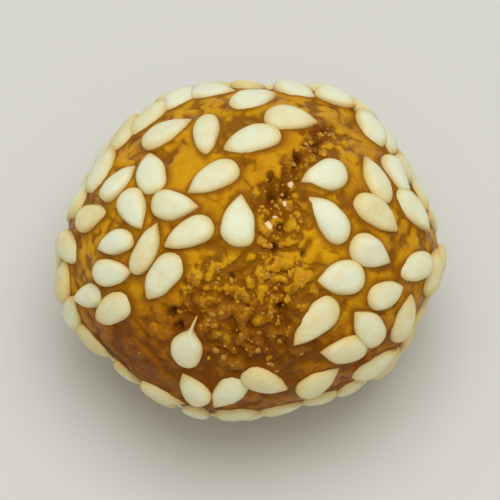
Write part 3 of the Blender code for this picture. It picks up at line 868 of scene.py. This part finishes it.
seed_form = bmesh.new()
seed_layers = [seed_form.verts.layers.float.new(name) for name in ("tone", "point", "skirt")]
seed_draw = random.Random(5)
for number, seed in enumerate(seeds):
    # Seeds lower on the face are more golden: partly toasting, partly painted warm bounce light and
    # shade.
    low = smooth(0.4 - (seed.place - MIDDLE).dot(FACE_UP) / (9 * MM))
    tone = PALEST + TONE_SPREAD * seed_draw.random() ** 2 + LOW_TONE_AND_BOUNCE * low
    tone = GOLDEN_SEEDS.get(number, tone)
    tilt = (seed_draw.uniform(-1, 1) * SEED_TILT, seed_draw.uniform(-1, 1) * SEED_TILT * NOD_SHARE)
    tilt = OWN_TILTS.get(number, tilt)
    taper = SEED_TAPER + seed_draw.uniform(-LESS_TAPER, MORE_TAPER)
    sharpness = POINT_SHARPNESS + seed_draw.uniform(-1, 1) * SHARPNESS_SPREAD
    shape = OWN_SHAPES.get(number, (taper, sharpness, 0))
    add_seed(seed_form, seed, seed_layers, tone, tilt, shape, seed_draw)
for corner in seed_form.verts:
    corner.co.z = max(corner.co.z, SEED_FLOOR)
bmesh.ops.triangulate(seed_form, faces=seed_form.faces)
bmesh.ops.recalc_face_normals(seed_form, faces=seed_form.faces)

SEED_CREAM = paint(223, 227, 197)
SEED_GOLD = paint(218, 192, 112)
SEED_TOASTED = paint(204, 154, 62)

seed_tree, seed_shader, seed_finish = new_finish("sesame_seed")
tone_mask = made_by(seed_tree, "tone")
point_mask = made_by(seed_tree, "point")
skirt_mask = made_by(seed_tree, "skirt")
seed_grain = put(seed_tree, "ShaderNodeGroup", {"Grain Size": 0.3 * MM}, node_tree=grain)
seed_colour = toasted(seed_tree, SEED_CREAM, SEED_GOLD, tone_mask, 0.9 * MM, 0.5)
skirt_share = calculate(seed_tree, "MULTIPLY", skirt_mask, 0.75)
seed_colour = mix_colour(seed_tree, skirt_share, seed_colour, SEED_GOLD)
point_share = calculate(seed_tree, "MULTIPLY", point_mask, 0.5)
seed_colour = mix_colour(seed_tree, point_share, seed_colour, SEED_TOASTED)
seed_tree.links.new(seed_colour, seed_shader.inputs["Base Color"])
seed_bump = bumps(seed_tree, seed_grain.outputs["Height"], 0.045 * MM)
seed_tree.links.new(seed_bump, seed_shader.inputs["Normal"])
seed_shader.inputs["Roughness"].default_value = 0.52
seed_shader.inputs["Specular IOR Level"].default_value = 0.4
seed_shader.inputs["Subsurface Weight"].default_value = 0.25
seed_shader.inputs["Subsurface Radius"].default_value = (1.0, 0.8, 0.45)
seed_shader.inputs["Subsurface Scale"].default_value = 0.5 * MM

sesame_seeds = show("sesame_seeds", seed_form, seed_finish)
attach(sesame_seeds, "root")
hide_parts("cookie")


# Loose crumbs: dry grains of the same dough that broke off as the ball split. They stick to the
# crags of the split and of the bare patches, and a few pale specks lie by the pits, partly pale flakes
# and partly painted glints.
CRUMB_COUNT = 380
CRUMB_SMALLEST = 0.07 * MM
CRUMB_LARGEST = 0.24 * MM
CRUMB_FLAT = 0.5
CRUMB_JAG = 0.34
CRUMB_LONGER = 0.6
CRUMB_CLEAR = 0.2 * MM
LOW_CRUMBS = 0.35
DULLEST = 0.12
# Bright specks by the seam's pits, partly pale flakes of dough and partly painted glints: right, up and
# radius in millimetres.
BRIGHT_FLAKES_AND_GLINTS = ((0.98, 1.77, 0.31), (2.2, 3.3, 0.2), (1.52, 2.43, 0.15), (2.45, 4.35, 0.22))

crumb_form = bmesh.new()
bright_layer = crumb_form.verts.layers.float.new("bright")
crumb_draw = random.Random(23)


def add_crumb(direction, radius, bright):
    """Adds one angular crumb, lying flat on the dough, and how bright it is."""
    point = dough_vertex(direction)[0]
    spin = Vector(crumb_draw.gauss(0, 1) for _ in range(3)).normalized()
    longer = crumb_draw.uniform(0, CRUMB_LONGER)
    ball = bmesh.ops.create_icosphere(crumb_form, subdivisions=1, radius=1.0)
    for corner in ball["verts"]:
        shape = corner.co * (1 + crumb_draw.uniform(-CRUMB_JAG, CRUMB_JAG))
        shape += spin * (shape.dot(spin) * longer)
        shape -= direction * (shape.dot(direction) * (1 - CRUMB_FLAT))
        corner.co = point + shape * radius
        corner.co.z = max(corner.co.z, 0.0)
        corner[bright_layer] = bright


for right, up, radius in BRIGHT_FLAKES_AND_GLINTS:
    add_crumb(face_direction(right, up), radius * MM, 1.0)
crumbs_left = CRUMB_COUNT
while crumbs_left:
    direction = Vector(crumb_draw.gauss(0, 1) for _ in range(3)).normalized()
    right, up, depth = face_place(direction)
    share = LOW_CRUMBS + (1 - LOW_CRUMBS) * smooth((up - SMOOTHER_BELOW) / 2 + 0.5)
    wanted = bare_cover(direction) * share
    if crumb_draw.random() > wanted or near_seeds(smooth_point(direction)) < CRUMB_CLEAR:
        continue
    radius = CRUMB_SMALLEST + (CRUMB_LARGEST - CRUMB_SMALLEST) * crumb_draw.random() ** 2
    add_crumb(direction, radius, DULLEST * crumb_draw.random() ** 3)
    crumbs_left -= 1

CRUMB_GOLD = paint(206, 148, 40)
# The bright specks: partly pale flakes of dough, partly painted glints.
FLAKE_AND_GLINT_CREAM = paint(240, 208, 166)

crumb_tree, crumb_shader, crumb_finish = new_finish("dough_crumbs")
crumb_grain = put(crumb_tree, "ShaderNodeGroup", {"Grain Size": 0.15 * MM}, node_tree=grain)
crumb_colour = toasted(crumb_tree, CRUMB_GOLD, BARE_BROWN, 0.5, 0.7 * MM)
crumb_colour = mix_colour(crumb_tree, made_by(crumb_tree, "bright"), crumb_colour, FLAKE_AND_GLINT_CREAM)
crumb_tree.links.new(crumb_colour, crumb_shader.inputs["Base Color"])
crumb_bump = bumps(crumb_tree, crumb_grain.outputs["Height"], 0.04 * MM)
crumb_tree.links.new(crumb_bump, crumb_shader.inputs["Normal"])
crumb_shader.inputs["Roughness"].default_value = 0.6
crumb_shader.inputs["Specular IOR Level"].default_value = 0.3
crumb_shader.inputs["Specular Tint"].default_value = OIL_GLINT

dough_crumbs = show("dough_crumbs", crumb_form, crumb_finish)
dough_crumbs.data.shade_flat()
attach(dough_crumbs, "root")
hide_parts("cookie")
